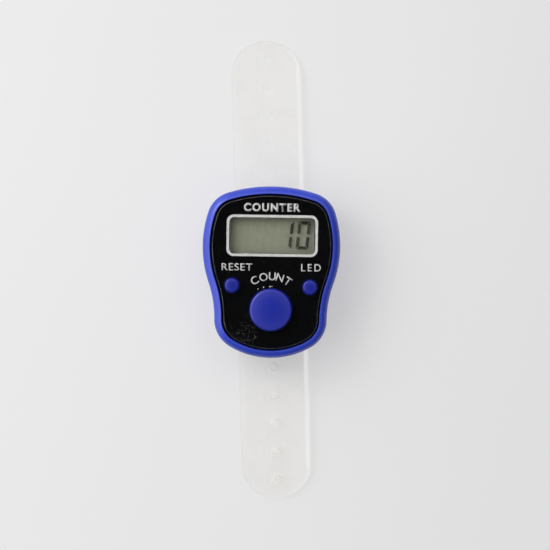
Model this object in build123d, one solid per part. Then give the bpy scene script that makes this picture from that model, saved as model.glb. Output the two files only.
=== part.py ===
from build123d import *
import math
import os

# Digital finger tally counter.  Millimetres, +Z up.
# The counter lies on its back: the face points to +Z, the display end to +Y.
# Origin: centre of the footprint, on the plane it rests on (underside of the strap bars).
# A span is a (low, high) pair along one axis.  An inset is measured inwards from the outline.

# ---------------------------------------------------------------- driving dimensions
# case outline: a closed chain of tangent arcs, symmetric about X = 0
HALF_WIDTH = 15.0                    # at the widest point
OUTLINE_TOP, OUTLINE_BOTTOM = 18.65, -18.75
CROWN_R = 32.4                       # arc across the display end
SHOULDER_R = 6.5                     # display-end corners
FLANK_R, WIDEST_Y = 24.3, 5.6        # bulging flank and the height of its widest point
WAIST_R, WAIST_HALF = 24.5, 12.27    # concave waist and its half width
HEEL_R = 6.85                        # lower corners
BOTTOM_R = 17.5                      # bottom arc

# levels
BAR_TOP = 1.3                        # top of the strap bars
CASE_BACK = 3.1                      # back face of the case
PARTING = 7.6                        # between rear cover and front shell
WALL_BOTTOM, WALL_TOP = 10.0, 11.2   # front wall carrying the lens
RIM_TOP = 12.6                       # top of the bezel
BOARD_BOTTOM, BOARD_TOP = 7.8, 8.6   # circuit board

# case walls
SKIN = 1.6                           # side wall
BACK_WALL = 1.2
COVER_DEPTH = PARTING - CASE_BACK
COVER_DRAFT = 12.5                   # degrees, rear cover flank
BEZEL_ROUND = 1.35
RECESS_INSET = 1.62                  # bezel width seen from the front
LENS_INSET = 2.02
BOARD_INSET = 2.9

# display
WINDOW_X, WINDOW_Y = 0.09, 7.92
WINDOW_W, WINDOW_H, WINDOW_R = 18.5, 7.8, 1.0   # clear window in the print
OPENING_W, OPENING_H = 19.8, 8.8                # opening in the front wall
LCD_HALF = 21.2 / 2
LCD_LOW, LCD_HIGH = 0.9, 12.6        # Y extent of the front glass
LEDGE_Y = 3.0                        # lower edge of the rear glass
REAR_GLASS_Z, GLASS_T = 9.5, 0.55

# buttons
COUNT_XY, COUNT_R, COUNT_TOP = (0.0, -8.14), 4.57, 14.0
RESET_XY, LED_XY = (-8.49, -2.94), (8.47, -3.13)
SMALL_R, SMALL_TOP = 1.56, 13.35

# screw places
LOWER_SCREW_Y = -13.0
CASE_SCREWS = [(-5.6, 15.0), (5.6, 15.0), (-7.0, LOWER_SCREW_Y), (7.0, LOWER_SCREW_Y)]
BOARD_SCREWS = [(0.0, 14.9), (-3.6, -1.1), (3.6, -1.1)]

# button cells, LR1130
CELL_R, CELL_H = 5.8, 3.05
CELL_X, CELL_Y, CELL_Z = 6.1, 6.5, 4.5
CELL_PLACES = [(-CELL_X, CELL_Y), (CELL_X, CELL_Y)]

OVERCUT = 1.0                        # how far a cutter runs past what it cuts


# ---------------------------------------------------------------- helpers
def around(centre, half):
    return centre - half, centre + half


def past(span):
    """The span lengthened at both ends, for a cut right through."""
    return span[0] - OVERCUT, span[1] + OVERCUT


def on_side(side, near, far):
    """Span between two distances from zero, on the +1 or -1 side."""
    return sorted((side * near, side * far))


def box(x_span, y_span, z_span):
    (x0, x1), (y0, y1), (z0, z1) = x_span, y_span, z_span
    return Pos((x0 + x1) / 2, (y0 + y1) / 2, (z0 + z1) / 2) * Box(x1 - x0, y1 - y0, z1 - z0)


def cylinder(x, y, radius, z_span):
    low, high = z_span
    return Pos(x, y, (low + high) / 2) * Cylinder(radius, high - low)


def add_posts(part, places, radius, z_span):
    for x, y in places:
        part += cylinder(x, y, radius, z_span)
    return part


def cut_holes(part, places, radius, z_span):
    for x, y in places:
        part -= cylinder(x, y, radius, z_span)
    return part


def cut_button_holes(part, count_gap, small_gap, z_span):
    part = cut_holes(part, [COUNT_XY], COUNT_R + count_gap, z_span)
    return cut_holes(part, [RESET_XY, LED_XY], SMALL_R + small_gap, z_span)


def rounded_box(width, height, radius, x, y, z_span):
    low, high = z_span
    return Pos(x, y, low) * extrude(RectangleRounded(width, height, radius), high - low)


def polygon(points):
    """Face inside a closed chain of lines through 3D points."""
    ends = points[1:] + points[:1]
    return Face(Wire([Line(start, end) for start, end in zip(points, ends)]))


def turned(profile):
    """Solid of revolution about Z from a closed (radius, z) polygon."""
    return revolve(polygon([(radius, 0, z) for radius, z in profile]), Axis.Z)


def edges_at(part, z, tol=0.01):
    """Edges lying flat at height z."""
    found = []
    for edge in part.edges():
        bounds = edge.bounding_box()
        if abs(bounds.min.Z - z) < tol and abs(bounds.max.Z - z) < tol:
            found.append(edge)
    return found


def single(part):
    """The largest solid of a part."""
    return max(part.solids(), key=lambda solid: solid.volume)


# ---------------------------------------------------------------- case outline
def angle(start, end):
    return math.atan2(end[1] - start[1], end[0] - start[0])


def on_circle(centre, radius, direction):
    return (centre[0] + radius * math.cos(direction), centre[1] + radius * math.sin(direction))


def circle_cross(centre_a, radius_a, centre_b, radius_b, pick):
    """The crossing point of two circles that scores highest with pick."""
    dx, dy = centre_b[0] - centre_a[0], centre_b[1] - centre_a[1]
    gap = math.hypot(dx, dy)
    along = (radius_a ** 2 - radius_b ** 2 + gap ** 2) / (2 * gap)
    across = math.sqrt(radius_a ** 2 - along ** 2)
    foot = (centre_a[0] + along * dx / gap, centre_a[1] + along * dy / gap)
    shift_x, shift_y = across * dy / gap, across * dx / gap
    crossings = [(foot[0] - shift_x, foot[1] + shift_y), (foot[0] + shift_x, foot[1] - shift_y)]
    return max(crossings, key=pick)


# arc centres, on the +X side
CROWN_C = (0.0, OUTLINE_TOP - CROWN_R)
FLANK_C = (HALF_WIDTH - FLANK_R, WIDEST_Y)
SHOULDER_C = circle_cross(
    CROWN_C, CROWN_R - SHOULDER_R, FLANK_C, FLANK_R - SHOULDER_R, lambda p: p[0] + p[1]
)
WAIST_X = WAIST_HALF + WAIST_R
WAIST_C = (
    WAIST_X,
    WIDEST_Y - math.sqrt((FLANK_R + WAIST_R) ** 2 - (WAIST_X - FLANK_C[0]) ** 2),
)
BOTTOM_C = (0.0, OUTLINE_BOTTOM + BOTTOM_R)
HEEL_C = circle_cross(
    WAIST_C, WAIST_R + HEEL_R, BOTTOM_C, BOTTOM_R - HEEL_R, lambda p: p[0] - p[1]
)


def mirrored(point):
    return (-point[0], point[1])


def outline(inset):
    """The case outline as a face on Z = 0, moved inwards by inset."""
    flank_r, waist_r = FLANK_R - inset, WAIST_R + inset
    crown_end = on_circle(CROWN_C, CROWN_R - inset, angle(CROWN_C, SHOULDER_C))
    shoulder_end = on_circle(FLANK_C, flank_r, angle(FLANK_C, SHOULDER_C))
    flank_end = on_circle(FLANK_C, flank_r, angle(FLANK_C, WAIST_C))
    waist_end = on_circle(WAIST_C, waist_r, angle(WAIST_C, HEEL_C))
    heel_end = on_circle(BOTTOM_C, BOTTOM_R - inset, angle(BOTTOM_C, HEEL_C))
    arcs = [
        (SHOULDER_C, SHOULDER_R - inset, shoulder_end),
        (FLANK_C, flank_r, flank_end),
        (WAIST_C, waist_r, waist_end),
        (HEEL_C, HEEL_R - inset, heel_end),
    ]
    right = [ThreePointArc(mirrored(crown_end), (0, OUTLINE_TOP - inset), crown_end)]
    left = []
    start = crown_end
    for centre, radius, end in arcs:
        chord_middle = ((start[0] + end[0]) / 2, (start[1] + end[1]) / 2)
        middle = on_circle(centre, radius, angle(centre, chord_middle))
        right.append(ThreePointArc(start, middle, end))
        left.append(ThreePointArc(mirrored(end), mirrored(middle), mirrored(start)))
        start = end
    right.append(ThreePointArc(heel_end, (0, OUTLINE_BOTTOM + inset), mirrored(heel_end)))
    return Face(Wire(right + left[::-1]))


def prism(inset, z_span):
    low, high = z_span
    return Pos(0, 0, low) * extrude(outline(inset), high - low, dir=(0, 0, 1))


def drafted(inset, depth):
    """Outline at the parting plane, narrowing downwards by the cover's draft."""
    top = Pos(0, 0, PARTING) * outline(inset)
    return extrude(top, depth, dir=(0, 0, -1), taper=COVER_DRAFT)


# ---------------------------------------------------------------- front shell
CASE_BOSS_R, BOARD_BOSS_R = 1.8, 1.5
CASE_PILOT_R, BOARD_PILOT_R = 0.86, 0.66
CASE_PILOT_TOP, BOARD_PILOT_TOP = 9.8, 10.5
BOSS_TOP = WALL_BOTTOM + 0.3         # runs into the front wall
RIB_NEAR, RIB_FAR, RIB_HALF_T, RIB_BOTTOM = 8.4, 10.6, 0.4, 8.8
OPENING_R = 0.8
LCD_GAP, LCD_POCKET_TOP = 0.15, 10.8
LIP_ROUND = 0.25


def front_shell():
    shell = prism(0, (PARTING, RIM_TOP))
    shell = fillet(edges_at(shell, RIM_TOP), BEZEL_ROUND)
    shell -= prism(RECESS_INSET, (WALL_TOP, RIM_TOP + OVERCUT))
    shell -= prism(SKIN, (PARTING - OVERCUT, WALL_BOTTOM))
    shell = add_posts(shell, CASE_SCREWS, CASE_BOSS_R, (PARTING, BOSS_TOP))
    shell = add_posts(shell, BOARD_SCREWS, BOARD_BOSS_R, (BOARD_TOP, BOSS_TOP))
    # stiffening ribs between the lower bosses and the flank
    for side in (-1, 1):
        shell += box(
            on_side(side, RIB_NEAR, RIB_FAR),
            around(LOWER_SCREW_Y, RIB_HALF_T),
            (RIB_BOTTOM, WALL_BOTTOM + 0.2),
        )
    shell = cut_holes(shell, CASE_SCREWS, CASE_PILOT_R, (PARTING - OVERCUT, CASE_PILOT_TOP))
    shell = cut_holes(shell, BOARD_SCREWS, BOARD_PILOT_R, (BOARD_TOP - OVERCUT, BOARD_PILOT_TOP))
    # display opening and the pocket for the glass behind it
    wall = past((WALL_BOTTOM, WALL_TOP))
    shell -= rounded_box(OPENING_W, OPENING_H, OPENING_R, 0, WINDOW_Y, wall)
    shell -= box(
        around(0, LCD_HALF + LCD_GAP),
        (LCD_LOW - LCD_GAP, LCD_HIGH + LCD_GAP),
        (WALL_BOTTOM - OVERCUT, LCD_POCKET_TOP),
    )
    shell = cut_button_holes(shell, 0.15, 0.12, wall)
    # round the inner edge of the bezel
    recess_edge = outline(RECESS_INSET).outer_wire()
    inner_lip = []
    for edge in edges_at(shell, RIM_TOP):
        middle = edge @ 0.5
        if recess_edge.distance_to(Vertex(middle.X, middle.Y, 0)) < 0.02:
            inner_lip.append(edge)
    return single(fillet(inner_lip, LIP_ROUND))


# ---------------------------------------------------------------- rear cover
COVER_ROUND = 1.2
PILLAR_R, COUNTERBORE_R, CLEARANCE_R = 2.1, 1.5, 0.95
COUNTERBORE_TOP = 5.0
POCKET_GAP, POCKET_WALL = 0.15, 0.6  # round each cell
POCKET_BOTTOM, POCKET_TOP, POCKET_CUT_TOP = 4.2, 6.9, 7.5
BAR_NEAR, BAR_FAR = 5.5, 9.0         # strap bars, distances from X axis
SLOT_HALF, POST_HALF = 8.35, 9.9     # strap slot and bar, half lengths in X
BAR_ROUND = 0.55


def locating_lip():
    """Lip standing inside the front shell, notched round the screw bosses."""
    lip = prism(SKIN - 0.4, (PARTING - 1.2, PARTING))
    lip += prism(SKIN + 0.1, (PARTING - 0.2, PARTING + 0.9))
    lip -= prism(SKIN + 0.9, (PARTING - 2, PARTING + 2))
    lip = cut_holes(lip, CASE_SCREWS, 2.0, (PARTING, PARTING + 2))
    return cut_holes(lip, BOARD_SCREWS, 1.8, (PARTING, PARTING + 2))


def cell_pocket():
    """Two joined rings, open to each other in the middle."""
    inner_r = CELL_R + POCKET_GAP
    left, right = [
        cylinder(x, y, inner_r + POCKET_WALL, (POCKET_BOTTOM, POCKET_TOP)) for x, y in CELL_PLACES
    ]
    cut_span = (POCKET_BOTTOM, POCKET_CUT_TOP)
    ring = cut_holes(left + right, CELL_PLACES, inner_r, cut_span)
    ring -= box(around(0, 1.6), around(CELL_Y, 4.4), cut_span)
    return ring & drafted(0.8, COVER_DEPTH - 0.2)


def strap_bar(side):
    y_span = on_side(side, BAR_NEAR, BAR_FAR)
    bar = box(around(0, POST_HALF), y_span, (0, CASE_BACK + 0.4))
    bar = fillet(edges_at(bar, 0.0) + list(bar.edges().filter_by(Axis.Z)), BAR_ROUND)
    return bar - box(around(0, SLOT_HALF), past(y_span), (BAR_TOP, CASE_BACK))


def rear_cover():
    cover = drafted(0, COVER_DEPTH)
    cover = fillet(edges_at(cover, CASE_BACK), COVER_ROUND)
    cover -= drafted(SKIN, COVER_DEPTH - BACK_WALL)
    cover += locating_lip()
    for x, y in CASE_SCREWS:
        pillar = cylinder(x, y, PILLAR_R, (CASE_BACK + 0.5, PARTING))
        cover += pillar & drafted(0.5, COVER_DEPTH)
    cover += cell_pocket()
    for side in (-1, 1):
        cover += strap_bar(side)
    for x, y in CASE_SCREWS:
        cover -= cylinder(x, y, COUNTERBORE_R, (CASE_BACK - OVERCUT, COUNTERBORE_TOP))
        cover -= cylinder(x, y, CLEARANCE_R, (CASE_BACK, PARTING + OVERCUT))
    return single(cover)


# ---------------------------------------------------------------- screws
CASE_SCREW = dict(
    seat=COUNTERBORE_TOP - 0.02, head_r=1.35, head_h=0.95,
    core_r=0.66, thread_r=0.84, length=4.5, pitch=0.6,
)
BOARD_SCREW = dict(
    seat=BOARD_BOTTOM - 0.01, head_r=1.15, head_h=0.7,
    core_r=0.5, thread_r=0.64, length=2.45, pitch=0.45,
)
CROSS_WIDTH = 0.32                   # arms of the cross recess


def screw(x, y, seat, head_r, head_h, core_r, thread_r, length, pitch):
    """Pan-head self-tapping screw, head down, shank up from its seat."""
    head_bottom = seat - head_h
    profile = [
        (0, head_bottom), (head_r * 0.72, head_bottom), (head_r, seat - head_h * 0.55),
        (head_r, seat), (core_r, seat),
    ]
    z = seat + pitch * 0.6
    # the thread is a row of ridges, not a helix
    while z + pitch < seat + length - 0.7:
        profile += [
            (core_r, z), (thread_r, z + pitch * 0.42),
            (thread_r, z + pitch * 0.5), (core_r, z + pitch * 0.92),
        ]
        z += pitch
    profile += [(core_r, seat + length - 0.6), (0, seat + length)]
    body = turned(profile)
    arm = head_r * 1.25
    for width, depth in ((CROSS_WIDTH, arm), (arm, CROSS_WIDTH)):
        body -= box(
            around(0, width / 2), around(0, depth / 2),
            (head_bottom - OVERCUT, head_bottom + head_h * 0.55),
        )
    return Pos(x, y, 0) * single(body)


def screw_set(places, sizes):
    return Compound(children=[screw(x, y, **sizes) for x, y in places])


# ---------------------------------------------------------------- face: tape, print, lens
TAPE_SPAN = (WALL_TOP + 0.01, WALL_TOP + 0.08)
PRINT_SPAN = (WALL_TOP + 0.09, WALL_TOP + 0.14)
LENS_SPAN = (WALL_TOP + 0.15, WALL_TOP + 1.10)
LENS_CHAMFER = 0.22


def lens_tape():
    tape = prism(RECESS_INSET + 0.08, TAPE_SPAN)
    tape -= rounded_box(OPENING_W + 0.5, OPENING_H + 0.5, 1.0, 0, WINDOW_Y, past(TAPE_SPAN))
    return single(cut_button_holes(tape, 0.5, 0.5, past(TAPE_SPAN)))


def face_print():
    film = prism(LENS_INSET + 0.02, PRINT_SPAN)
    film -= rounded_box(WINDOW_W, WINDOW_H, WINDOW_R, WINDOW_X, WINDOW_Y, past(PRINT_SPAN))
    return single(cut_button_holes(film, 0.22, 0.22, past(PRINT_SPAN)))


def face_lens():
    lens = prism(LENS_INSET, LENS_SPAN)
    lens = chamfer(edges_at(lens, LENS_SPAN[1]), LENS_CHAMFER)
    return single(cut_button_holes(lens, 0.2, 0.2, past(LENS_SPAN)))


# ---------------------------------------------------------------- buttons
FLANGE_BOTTOM, FLANGE_TOP = 9.35, WALL_BOTTOM - 0.05
COUNT_BORE_R, COUNT_ROOF = 3.6, 1.1  # hollow round the count button's stem


def button(xy, radius, top, edge_round, flange_r, stem_r, stem_bottom, bore_r=None):
    body = turned([
        (0, FLANGE_BOTTOM), (flange_r, FLANGE_BOTTOM), (flange_r, FLANGE_TOP),
        (radius, FLANGE_TOP), (radius, top), (0, top),
    ])
    body = fillet(edges_at(body, top), edge_round)
    if bore_r:
        bore = cylinder(0, 0, bore_r, (FLANGE_BOTTOM - 1, top - COUNT_ROOF))
        body -= bore - cylinder(0, 0, stem_r, (FLANGE_BOTTOM - 2, top))
    body += cylinder(0, 0, stem_r, (stem_bottom, FLANGE_BOTTOM + 0.2))
    return Pos(*xy, 0) * single(body)


def count_button():
    return button(COUNT_XY, COUNT_R, COUNT_TOP, edge_round=0.6, flange_r=5.45,
                  stem_r=1.5, stem_bottom=9.21, bore_r=COUNT_BORE_R)


def small_button(xy):
    return button(xy, SMALL_R, SMALL_TOP, edge_round=0.4, flange_r=2.45,
                  stem_r=0.8, stem_bottom=9.01)


# ---------------------------------------------------------------- circuit board
def circuit_board():
    board_span = (BOARD_BOTTOM, BOARD_TOP)
    board = prism(BOARD_INSET, board_span)
    board = cut_holes(board, CASE_SCREWS, 2.2, past(board_span))
    return single(cut_holes(board, BOARD_SCREWS, 0.75, past(board_span)))


# radius, rise
COUNT_DOME = (4.0, 0.50)
SMALL_DOME = (2.2, 0.32)
COUNT_DOME_T, SMALL_DOME_T = 0.08, 0.07
FILM_T = 0.05


def dome(xy, radius, rise, thickness):
    """Thin spherical cap standing on the board."""
    outer_r = (radius ** 2 + rise ** 2) / (2 * rise)
    inner_r = outer_r - thickness
    centre_z = BOARD_TOP + rise - outer_r
    foot_r = math.sqrt(inner_r ** 2 - (BOARD_TOP - centre_z) ** 2)

    def arc_middle(sphere_r, edge_r):
        half_angle = 0.5 * math.asin(edge_r / sphere_r)
        return (sphere_r * math.sin(half_angle), 0, centre_z + sphere_r * math.cos(half_angle))

    apex, inner_apex = (0, 0, BOARD_TOP + rise), (0, 0, BOARD_TOP + rise - thickness)
    rim, inner_rim = (radius, 0, BOARD_TOP), (foot_r, 0, BOARD_TOP)
    section = Face(Wire([
        ThreePointArc(apex, arc_middle(outer_r, radius), rim),
        Line(rim, inner_rim),
        ThreePointArc(inner_rim, arc_middle(inner_r, foot_r), inner_apex),
        Line(inner_apex, apex),
    ]))
    return Pos(*xy, 0) * single(revolve(section, Axis.Z))


def dome_film():
    """Clear film holding the domes down: a flat sheet with a blister over each dome."""
    film_span = (BOARD_TOP, BOARD_TOP + FILM_T)
    sheet = box(around(0, 10.2), (-13.2, 0.3), film_span) & prism(BOARD_INSET + 0.5, (8, 9))
    sheet = cut_holes(sheet, CASE_SCREWS, 2.3, (8, 9))
    sheet = cut_holes(sheet, BOARD_SCREWS, 1.75, (8, 9))
    domes = ((COUNT_XY, COUNT_DOME), (RESET_XY, SMALL_DOME), (LED_XY, SMALL_DOME))
    for xy, (radius, rise) in domes:
        sheet -= cylinder(*xy, radius + 0.16, (8, 9))
        sheet += dome(xy, radius + 0.22, rise + 0.06, FILM_T)
    return single(sheet)


def under_board(x, y, half_x, half_y, height):
    """Block hanging from the underside of the board."""
    z_span = (BOARD_BOTTOM - height, BOARD_BOTTOM)
    return single(box(around(x, half_x), around(y, half_y), z_span))


def controller_chip():
    """Resin blob: a spherical cap under the board."""
    radius, height = 3.5, 1.25
    sphere_r = (radius ** 2 + height ** 2) / (2 * height)
    ball = Pos(0.0, -8.2, BOARD_BOTTOM - height + sphere_r) * Sphere(sphere_r)
    return single(ball & box((-5, 5), (-14, -3), (BOARD_BOTTOM - 3, BOARD_BOTTOM)))


def display_led():
    """Side-firing LED, its emitter facing the light guide."""
    body = box((10.45, 11.5), around(WINDOW_Y, 0.9), (BOARD_TOP, 9.25))
    return single(body + box((10.38, 10.5), around(WINDOW_Y, 0.6), (8.75, 9.15)))


# ---------------------------------------------------------------- display stack
GLASS_JOINT = REAR_GLASS_Z + GLASS_T
# name: inset in X, low Y, high Y, Z span
DISPLAY_LAYERS = {
    "light_guide": (0.3, LEDGE_Y + 0.2, LCD_HIGH - 0.2, (BOARD_TOP + 0.1, 9.3)),
    "lcd_rear_polariser": (0.2, LEDGE_Y + 0.15, LCD_HIGH - 0.15, (9.33, 9.49)),
    "lcd_rear_glass": (0, LEDGE_Y, LCD_HIGH, (REAR_GLASS_Z, GLASS_JOINT - 0.005)),
    "lcd_front_glass": (0, LCD_LOW, LCD_HIGH, (GLASS_JOINT + 0.005, GLASS_JOINT + GLASS_T)),
    "lcd_front_polariser": (0.2, LEDGE_Y + 0.15, LCD_HIGH - 0.15, (10.61, 10.77)),
}


def display_layer(inset, low_y, high_y, z_span):
    return single(box(around(0, LCD_HALF - inset), (low_y, high_y), z_span))


def zebra_strip():
    return single(box((-10.0, 10.0), (1.1, 2.7), (BOARD_TOP, 10.05)))


# ---------------------------------------------------------------- button cells and contacts
# radius, z above the cell's base
CELL_PROFILE = [
    (0, 0), (5.45, 0), (CELL_R, 0.35), (CELL_R, 2.35), (5.55, 2.62), (5.0, 2.66),
    (5.0, 2.58), (4.75, 2.58), (4.75, 2.85), (4.5, CELL_H), (0, CELL_H),
]
DIMPLE_R = 0.8
LEAF_T = 0.15


def cell(side):
    """The -X cell has its cap up, the +X cell has it down."""
    body = single(turned(CELL_PROFILE))
    if side > 0:
        body = Pos(0, 0, CELL_H) * (Rot(180, 0, 0) * body)
    return single(Pos(side * CELL_X, CELL_Y, CELL_Z) * body)


def cell_link():
    """Strip joining both cells from below, narrowed in the middle."""
    link = box(around(0, CELL_X + 2.6), around(CELL_Y, 2.0), (4.31, 4.46))
    for side in (-1, 1):
        notch_y = sorted((CELL_Y + side * 0.9, CELL_Y + side * 3))
        link -= box(around(0, 1.2), notch_y, (4, 5))
    return single(add_posts(link, CELL_PLACES, DIMPLE_R, (4.4, 4.49)))


def cell_contact(side):
    """Leaf under the board with an outward tail and a dimple onto the cell."""
    leaf_span = (BOARD_BOTTOM - LEAF_T, BOARD_BOTTOM)
    leaf = box(on_side(side, 3.2, 8.6), around(CELL_Y, 1.6), leaf_span)
    leaf += box(on_side(side, 8.4, 10.9), around(CELL_Y, 0.7), leaf_span)
    dimple_span = (CELL_Z + CELL_H + 0.01, BOARD_BOTTOM - 0.1)
    return single(leaf + cylinder(side * CELL_X, CELL_Y, DIMPLE_R, dimple_span))


# ---------------------------------------------------------------- strap
STRAP_T, STRAP_HALF_L = 1.2, 50.95
STRAP_HALF_W = 15.3 / 2
STRAP_Z = 2.2                        # mid plane where it passes through the bars
STRAP_BOTTOM, STRAP_TOP = around(STRAP_Z, STRAP_T / 2)
STRAP_TURN, STRAP_X = 2.3, 0.05      # lies slightly askew: degrees about Z, millimetres
STRAP_DROOP = 2.3171                 # degrees, from the first bend until the tip touches Z = 0
HOLE_R, HOLE_PITCH, END_INSET, HOLE_COUNT = 0.92, 6.3, 4.5, 5
NECK_R, HEAD_R, NECK_H, STUD_H = 0.72, 1.02, 1.42, 1.95
UPPER_BENDS = (11.375, 18.475, 25.275, 31.639)     # distance of each bend from the middle
LOWER_BENDS = (12.185, 18.385, 24.585, 30.785)
BEND_HALF = 22.5 + 0.8               # degrees cut away at each end face, under the mid plane
BEND_GAP = 0.02
STUD_HEAD = [                        # radius, z
    (0, STRAP_TOP + NECK_H), (HEAD_R - 0.1, STRAP_TOP + NECK_H),
    (HEAD_R, STRAP_TOP + NECK_H + 0.12), (HEAD_R - 0.12, STRAP_TOP + NECK_H + 0.32),
    (0.5, STRAP_TOP + STUD_H), (0, STRAP_TOP + STUD_H),
]


def flat_strap():
    """Whole strap drawn flat: holes at the +Y end, studs at the -Y end."""
    z_span = (STRAP_BOTTOM, STRAP_TOP)
    end_y = STRAP_HALF_L - STRAP_HALF_W
    strap = box(around(0, STRAP_HALF_W), around(0, end_y), z_span)
    strap = add_posts(strap, [(0, end_y), (0, -end_y)], STRAP_HALF_W, z_span)
    for i in range(HOLE_COUNT):
        y = STRAP_HALF_L - END_INSET - i * HOLE_PITCH
        strap -= cylinder(0, y, HOLE_R, past(z_span))
        strap += cylinder(0, -y, NECK_R, (STRAP_TOP - 0.3, STRAP_TOP + NECK_H + 0.1))
        strap += Pos(0, -y, 0) * turned(STUD_HEAD)
    return strap


def bend_slab(near, far, side):
    """Keeps what lies between bends near and far.  A far of None is an open end."""
    undercut = math.tan(math.radians(BEND_HALF)) * STRAP_T / 2
    near_top = near + BEND_GAP
    near_low = near_top + undercut
    if far is None:
        far_top = far_low = 80.0
    else:
        far_top = far - BEND_GAP
        far_low = far_top - undercut
    profile = [
        (near_top, 8), (near_top, STRAP_Z), (near_low, STRAP_BOTTOM), (near_low, -3),
        (far_low, -3), (far_low, STRAP_BOTTOM), (far_top, STRAP_Z), (far_top, 8),
    ]
    return extrude(polygon([(-20, side * y, z) for y, z in profile]), 40, dir=(1, 0, 0))


def strap_pieces():
    """Middle piece, and two flaps of four pieces that droop from their first bend."""
    flat = flat_strap()
    lay = Pos(STRAP_X, 0, 0) * Rot(0, 0, STRAP_TURN)
    middle_slab = bend_slab(-LOWER_BENDS[0], UPPER_BENDS[0], 1)
    pieces = {"strap_middle": single(lay * (flat & middle_slab))}
    for side, label, bends in ((1, "upper", UPPER_BENDS), (-1, "lower", LOWER_BENDS)):
        pivot_y = side * bends[0]
        for i, (near, far) in enumerate(zip(bends, bends[1:] + (None,)), start=1):
            piece = single(flat & bend_slab(near, far, side))
            piece = Rot(-side * STRAP_DROOP, 0, 0) * (Pos(0, -pivot_y, -STRAP_Z) * piece)
            pieces[f"strap_{label}_{i}"] = single(lay * (Pos(0, pivot_y, STRAP_Z) * piece))
    return pieces


# ---------------------------------------------------------------- all pieces
nodes = {
    "front_shell": front_shell(),
    "rear_cover": rear_cover(),
    "case_screws": screw_set(CASE_SCREWS, CASE_SCREW),
    "pcb_screws": screw_set(BOARD_SCREWS, BOARD_SCREW),
    "lens_tape": lens_tape(),
    "face_print": face_print(),
    "face_lens": face_lens(),
    "count_button": count_button(),
    "reset_button": small_button(RESET_XY),
    "led_button": small_button(LED_XY),
    "circuit_board": circuit_board(),
    "count_dome": dome(COUNT_XY, *COUNT_DOME, COUNT_DOME_T),
    "reset_dome": dome(RESET_XY, *SMALL_DOME, SMALL_DOME_T),
    "led_dome": dome(LED_XY, *SMALL_DOME, SMALL_DOME_T),
    "dome_film": dome_film(),
    "controller_chip": controller_chip(),
    "led_resistor": under_board(-6.5, -6.5, 0.8, 0.4, 0.45),
    "supply_capacitor": under_board(6.5, -6.5, 0.8, 0.45, 0.8),
    "display_led": display_led(),
    "zebra_strip": zebra_strip(),
    "cell_left": cell(-1),
    "cell_right": cell(1),
    "cell_link": cell_link(),
    "cell_contact_negative": cell_contact(-1),
    "cell_contact_positive": cell_contact(1),
}
nodes.update({name: display_layer(*layer) for name, layer in DISPLAY_LAYERS.items()})
nodes.update(strap_pieces())

os.makedirs("parts", exist_ok=True)
for name, shape in nodes.items():
    shape.label = name
    export_step(shape, f"parts/{name}.step")
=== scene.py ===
import math

import bmesh
import bpy
import numpy as np
from mathutils import Matrix, Vector
from mathutils.geometry import delaunay_2d_cdt


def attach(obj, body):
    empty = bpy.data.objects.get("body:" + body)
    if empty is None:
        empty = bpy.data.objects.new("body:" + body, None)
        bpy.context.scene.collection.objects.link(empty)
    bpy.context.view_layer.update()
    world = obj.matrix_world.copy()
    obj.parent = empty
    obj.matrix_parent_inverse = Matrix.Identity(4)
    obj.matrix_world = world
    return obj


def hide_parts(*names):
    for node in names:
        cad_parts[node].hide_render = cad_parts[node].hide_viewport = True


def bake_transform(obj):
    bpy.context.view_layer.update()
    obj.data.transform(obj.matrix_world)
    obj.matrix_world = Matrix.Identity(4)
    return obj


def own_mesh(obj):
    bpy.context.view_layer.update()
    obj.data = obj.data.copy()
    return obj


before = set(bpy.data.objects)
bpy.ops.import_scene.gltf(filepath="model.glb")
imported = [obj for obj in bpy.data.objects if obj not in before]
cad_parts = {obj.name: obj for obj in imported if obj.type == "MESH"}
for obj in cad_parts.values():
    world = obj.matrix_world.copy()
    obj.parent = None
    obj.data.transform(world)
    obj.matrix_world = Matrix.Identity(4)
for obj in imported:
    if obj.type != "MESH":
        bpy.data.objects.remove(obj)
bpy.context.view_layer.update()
MM = 0.001
rng = np.random.default_rng(7)

# ------------------------------------------------------------------ case outline (millimetres)
HALF_W, Y_TOP, Y_BOT = 15.0, 18.65, -18.75
R_TOP, R_SHOULDER, R_SIDE, Y_SIDE = 32.4, 6.5, 24.3, 5.6
R_WAIST, X_WAIST, R_HEEL, R_BOTTOM = 24.5, 12.27, 6.85, 17.5
Z_PART, Z_BACK, Z_WALL0, Z_WALL1, Z_RIM = 7.6, 3.1, 10.0, 11.2, 12.6
WIN_Y = 7.92
OPEN_W, OPEN_H = 19.8, 8.8
COUNT_XY, COUNT_R = (0.0, -8.14), 4.57
RESET_XY, LED_XY, SMALL_R = (-8.49, -2.94), (8.47, -3.13), 1.56
CASE_SCREWS = [(-5.6, 15.0), (5.6, 15.0), (-7.0, -13.0), (7.0, -13.0)]
PCB_SCREWS = [(0.0, 14.9), (-3.6, -1.1), (3.6, -1.1)]


def angle(a, b):
    return math.atan2(b[1] - a[1], b[0] - a[0])


def circle_cross(c0, r0, c1, r1, pick):
    dx, dy = c1[0] - c0[0], c1[1] - c0[1]
    d = math.hypot(dx, dy)
    a = (r0 * r0 - r1 * r1 + d * d) / (2 * d)
    h = math.sqrt(r0 * r0 - a * a)
    m = (c0[0] + a * dx / d, c0[1] + a * dy / d)
    s = [(m[0] - h * dy / d, m[1] + h * dx / d), (m[0] + h * dy / d, m[1] - h * dx / d)]
    return max(s, key=pick)


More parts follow.
